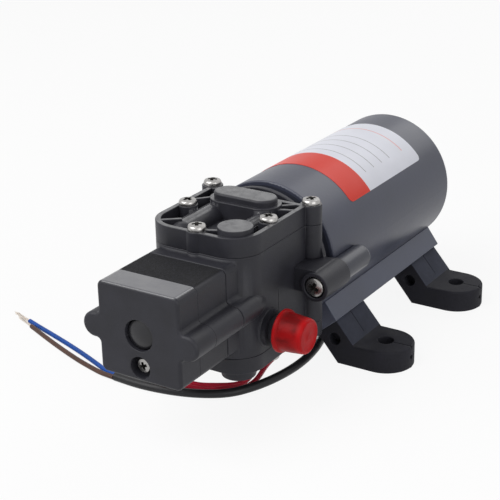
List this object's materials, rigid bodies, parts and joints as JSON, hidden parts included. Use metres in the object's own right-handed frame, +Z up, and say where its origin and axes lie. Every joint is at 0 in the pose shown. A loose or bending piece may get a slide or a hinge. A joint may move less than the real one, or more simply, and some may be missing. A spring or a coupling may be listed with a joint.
{
  "type": "water pressure pump",
  "caption": "Low-voltage diaphragm water pump: brush motor, boxer pump head, pressure switch, capped hose ports, rubber feet on a saddle bracket and loose supply leads.",
  "frame": {"origin": "middle of the pump's length and width, on the surface that its feet stand on, leads left out", "axes": "+X towards the outlet port, +Y along the motor shaft from the pressure switch to the motor's rear, +Z up"},
  "size_m": [0.1489, 0.165, 0.0656],
  "materials": {
    "black_nylon": "fine satin texture, glass-filled",
    "pale_plastic": "smooth",
    "rubber": "matte",
    "screw_steel": "bright nickel",
    "steel": "ground",
    "can_paint": "satin",
    "bracket_paint": "satin",
    "cast_plate": "cast",
    "magnet": "matte",
    "copper": "bright",
    "bronze": "sintered",
    "carbon": "dull",
    "cap_plastic": "soft, slightly translucent",
    "label": "printed film",
    "switch_case": "smooth",
    "button": "smooth",
    "jacket": "smooth",
    "blue_wire": "smooth",
    "brown_wire": "smooth",
    "red_wire": "smooth",
    "tinned_wire": "tinned"
  },
  "bodies": {
    "pump": {"base_bracket": "bracket_paint", "blue_supply_wire": "blue_wire", "brown_supply_wire": "brown_wire", "brush_holder": "pale_plastic", "brushes": "carbon", "foot_front_left": "rubber", "foot_front_right": "rubber", "foot_rear_left": "rubber", "foot_rear_right": "rubber", "front_bearing": "steel", "inlet_port": "black_nylon", "lower_check_valves": "rubber", "lower_cover": "black_nylon", "lower_cover_screws": "screw_steel", "lower_cover_seal": "rubber", "lower_diaphragm": "rubber", "lower_valve_plate": "pale_plastic", "microswitch": "switch_case", "motor_can": "can_paint", "motor_front_plate": "cast_plate", "motor_label": "label", "motor_lead_grommet": "rubber", "motor_magnets": "magnet", "motor_screw_barrels": "can_paint", "motor_screws": "screw_steel", "outlet_port": "black_nylon", "port_seals": "rubber", "pressure_adjusting_screw": "pale_plastic", "pump_body": "black_nylon", "rear_bearing": "bronze", "stripped_wire_ends": "tinned_wire", "supply_lead_jacket": "jacket", "switch_cover": "black_nylon", "switch_diaphragm": "rubber", "switch_housing": "black_nylon", "switch_lead_far": "red_wire", "switch_lead_gland": "rubber", "switch_lead_near": "red_wire", "switch_plug": "black_nylon", "switch_screw": "screw_steel", "switch_spring": "steel", "upper_check_valves": "rubber", "upper_cover": "black_nylon", "upper_cover_screws": "screw_steel", "upper_cover_seal": "rubber", "upper_diaphragm": "rubber", "upper_valve_plate": "pale_plastic"},
    "rotor": {"motor_shaft": "steel", "armature_core": "steel", "armature_windings": "copper", "commutator": "copper", "eccentric_hub": "steel", "eccentric_bearing": "steel"},
    "yoke": {"yoke": "pale_plastic", "diaphragm_clamps": "screw_steel"},
    "plunger": {"switch_plunger": "pale_plastic"},
    "button": {"microswitch_button": "button"},
    "inlet_cap": {"inlet_cap": "cap_plastic"},
    "outlet_cap": {"outlet_cap": "cap_plastic"}
  },
  "joints": [
    {"name": "rotor_spin", "type": "hinge", "parent": "pump", "child": "rotor", "pos_m": [0, 0, 0.0401], "axis": [0, 1, 0], "continuous": true},
    {"name": "yoke_slide", "type": "slide", "parent": "pump", "child": "yoke", "axis": [0, 0, 1], "range_m": [-0.001, 0.001], "stiffness_N_per_m": 500, "deforming": ["upper_diaphragm", "lower_diaphragm"]},
    {"name": "plunger_slide", "type": "slide", "parent": "pump", "child": "plunger", "axis": [0, -1, 0], "range_m": [0, 0.0008], "stiffness_N_per_m": 1500, "deforming": ["switch_spring", "switch_diaphragm"]},
    {"name": "button_slide", "type": "slide", "parent": "pump", "child": "button", "axis": [0, -1, 0], "range_m": [0, 0.0008], "stiffness_N_per_m": 100},
    {"name": "inlet_cap_slide", "type": "slide", "parent": "pump", "child": "inlet_cap", "axis": [-1, 0, 0], "range_m": [0, 0.016]},
    {"name": "outlet_cap_slide", "type": "slide", "parent": "pump", "child": "outlet_cap", "axis": [1, 0, 0], "range_m": [0, 0.016]}
  ],
  "couplings": [
    {"joint": "button_slide", "follows": "plunger_slide", "ratio": 1}
  ]
}
